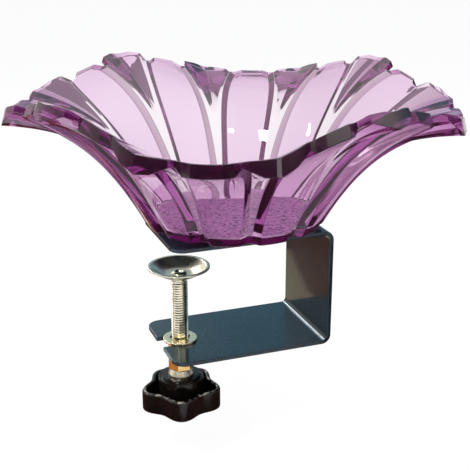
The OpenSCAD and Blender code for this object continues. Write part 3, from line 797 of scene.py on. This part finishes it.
above = addNode(tree, "MapRange", inputs={
    "Value": split.outputs["Z"], "From Min": skyLook["overhead"][0], "From Max": skyLook["overhead"][1],
    "To Min": 1.0, "To Max": skyLook["overheadGain"]})
toward = addNode(tree, "VectorMath", {"operation": "DOT_PRODUCT"}, {
    0: way.outputs["Generated"], 1: skyLook["glowWay"]})
glow = addNode(tree, "MapRange", {"interpolation_type": "SMOOTHSTEP"}, {
    "Value": toward.outputs["Value"], "From Min": skyLook["glow"][0], "From Max": skyLook["glow"][1],
    "To Min": 0.0, "To Max": skyLook["glowGain"]})
strength = addNode(tree, "Math", {"operation": "ADD"}, {0: above.outputs["Result"], 1: glow.outputs["Result"]})
mirrored = addNode(tree, "Background", inputs={"Color": sky.outputs[2], "Strength": strength.outputs["Value"]})
path = addNode(tree, "LightPath")
facing = addNode(tree, "VectorMath", {"operation": "DOT_PRODUCT"}, {
    0: way.outputs["Generated"], 1: skyLook["aheadWay"]})
ahead = addNode(tree, "MapRange", inputs={
    "Value": facing.outputs["Value"], "From Min": skyLook["ahead"][0], "From Max": skyLook["ahead"][1]})
whiteShare = addNode(tree, "Math", {"operation": "MAXIMUM"}, {
    0: ahead.outputs["Result"], 1: path.outputs["Is Camera Ray"]})
backdrop = addNode(tree, "ValToRGB", inputs={"Fac": whiteShare.outputs["Value"]},
                   stops=[(0.0, skyLook["aside"]), (1.0, "#FFFFFF")])
bare = addNode(tree, "Background", inputs={"Color": backdrop.outputs["Color"], "Strength": 1.0})
fill = addNode(tree, "Background", inputs={"Color": hexColour(skyLook["fill"]), "Strength": 1.0})
lit = addNode(tree, "MixShader", inputs={
    0: path.outputs["Is Glossy Ray"], 1: fill.outputs["Background"], 2: mirrored.outputs["Background"]})
seen = addNode(tree, "Math", {"operation": "MAXIMUM"}, {
    0: path.outputs["Is Camera Ray"], 1: path.outputs["Is Transmission Ray"]})
mixed = addNode(tree, "MixShader", inputs={
    0: seen.outputs["Value"], 1: lit.outputs["Shader"], 2: bare.outputs["Background"]})
addNode(tree, "OutputWorld", inputs={"Surface": mixed.outputs["Shader"]})

# five softboxes, two of them kept out of reflections, and three small lamps whose images are the bright spots
# inside the bowl. Places and sizes in metres, power in watts
lamps = [
    {"name": "leftSoftbox", "place": (-1.1, 0.05, 0.33), "aim": (-0.03, 0, -0.04), "size": 0.8, "power": 6.0,
     "mirrored": False},
    {"name": "frontSoftbox", "place": (0.02, -1.15, 0.35), "aim": (-0.03, 0, -0.04), "size": 0.16, "power": 0.25},
    {"name": "keySoftbox", "place": (-0.75, -0.8, 1.0), "aim": (0, 0, 0), "size": 0.12, "power": 9.0},
    {"name": "backSoftbox", "place": (-0.14, 0.95, 0.53), "aim": (0, 0, -0.04), "size": 0.2, "power": 2.2},
    {"name": "topSoftbox", "place": (0.45, -0.5, 1.2), "aim": (0, 0, 0), "size": 0.7, "power": 6.0,
     "mirrored": False},
    {"name": "roundSpot", "place": (0.027, -0.159, 0.81), "aim": (0.022, 0.065, 0.042), "size": 0.05, "power": 0.7,
     "shape": "DISK"},
    {"name": "boxSpot", "place": (-0.317, 0.011, 0.755), "aim": (0.039, 0.054, 0.04), "size": 0.11, "power": 2.0,
     "roll": 45},
    {"name": "sideSpot", "place": (-0.453, 0.362, 0.562), "aim": (0.061, 0.032, 0.046), "size": 0.03, "tall": 0.085,
     "power": 0.8, "shape": "ELLIPSE", "roll": 45}]

for lamp in lamps:
    at = Vector(lamp["place"])
    roll = Euler((0, 0, math.radians(lamp.get("roll", 0)))).to_quaternion()
    turn = (Vector(lamp["aim"]) - at).to_track_quat("-Z", "Y") @ roll
    bpy.ops.object.light_add(type="AREA", location=at, rotation=turn.to_euler())
    light = bpy.context.object
    light.name = lamp["name"]
    light.data.shape = lamp.get("shape", "SQUARE")
    light.data.size, light.data.size_y = lamp["size"], lamp.get("tall", lamp["size"])
    light.data.energy = lamp["power"]
    light.visible_camera = light.visible_transmission = False
    light.visible_glossy = lamp.get("mirrored", True)
print("stage and light set")
